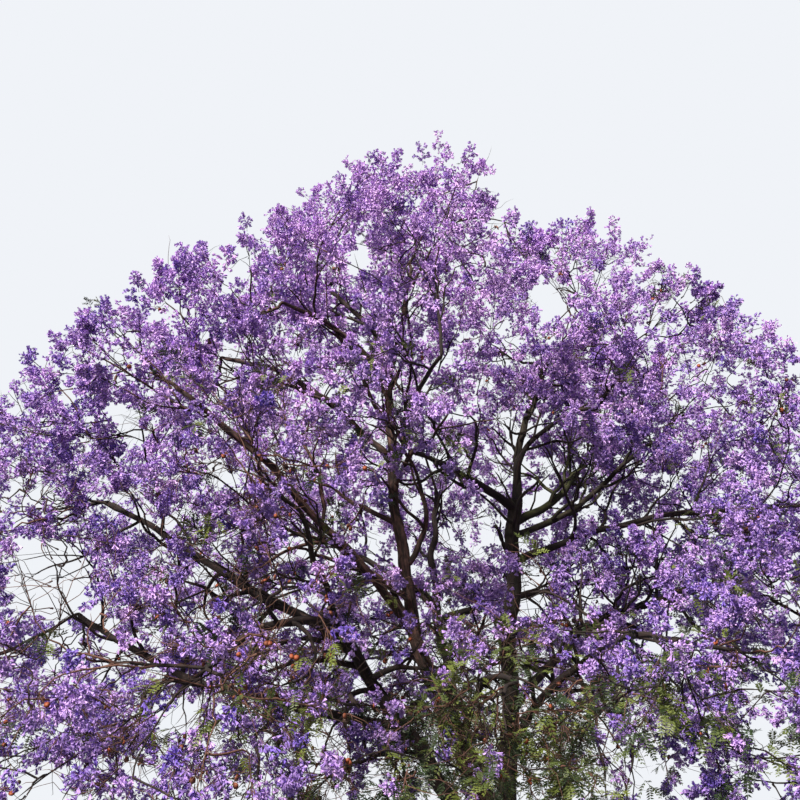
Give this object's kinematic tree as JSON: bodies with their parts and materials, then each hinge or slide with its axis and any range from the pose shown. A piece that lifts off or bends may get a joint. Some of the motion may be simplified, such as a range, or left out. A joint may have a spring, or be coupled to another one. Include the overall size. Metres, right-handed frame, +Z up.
{
  "type": "jacaranda tree",
  "caption": "Full-grown jacaranda in bloom: a low forked trunk, leaning stems and long boughs under a wide open crown of violet blossom, standing on a flat cut at ground level.",
  "frame": {"origin": "middle of the flat cut under the trunk, at ground level", "axes": "+Z up along the trunk, +Y away from the viewer of the picture, +X to the viewer's right"},
  "size_m": [15.2981, 12.6224, 12.1084],
  "materials": {
    "bark": "rough fissured bark",
    "blossom": "soft matt petals"
  },
  "bodies": {
    "root": {"trunk": "bark", "left-stem": "bark", "right-stem": "bark", "low-stem": "bark", "rear-stem": "bark", "top-bough": "bark", "high-left-bough": "bark", "upper-left-bough": "bark", "west-bough": "bark", "front-bough": "bark", "pale-bough": "bark", "centre-bough": "bark", "peak-bough": "bark", "inner-right-bough": "bark", "mossy-bough": "bark", "right-bough": "bark", "long-right-bough": "bark", "low-right-bough": "bark", "low-front-bough": "bark", "far-right-bough": "bark", "drooping-bough": "bark", "long-left-bough": "bark", "far-left-bough": "bark", "front-left-bough": "bark", "rear-left-bough": "bark", "rear-bough": "bark", "rear-right-bough": "bark", "rear-low-bough": "bark", "crown-top-blossom": "blossom", "high-left-blossom": "blossom", "front-top-blossom": "blossom", "upper-left-blossom": "blossom", "west-blossom": "blossom", "pale-bough-blossom": "blossom", "centre-blossom": "blossom", "inner-right-blossom": "blossom", "right-peak-blossom": "blossom", "rear-peak-blossom": "blossom", "mossy-bough-blossom": "blossom", "right-blossom": "blossom", "long-right-blossom": "blossom", "front-right-blossom": "blossom", "low-right-blossom": "blossom", "low-front-blossom": "blossom", "far-right-blossom": "blossom", "rear-far-right-blossom": "blossom", "drooping-front-blossom": "blossom", "drooping-left-blossom": "blossom", "far-left-blossom": "blossom", "left-front-blossom": "blossom", "low-left-blossom": "blossom", "low-left-rear-blossom": "blossom", "front-left-blossom": "blossom", "rear-left-blossom": "blossom", "rear-far-left-blossom": "blossom", "rear-top-blossom": "blossom", "rear-blossom": "blossom", "rear-right-blossom": "blossom", "rear-upper-right-blossom": "blossom", "rear-low-blossom": "blossom"}
  },
  "joints": []
}
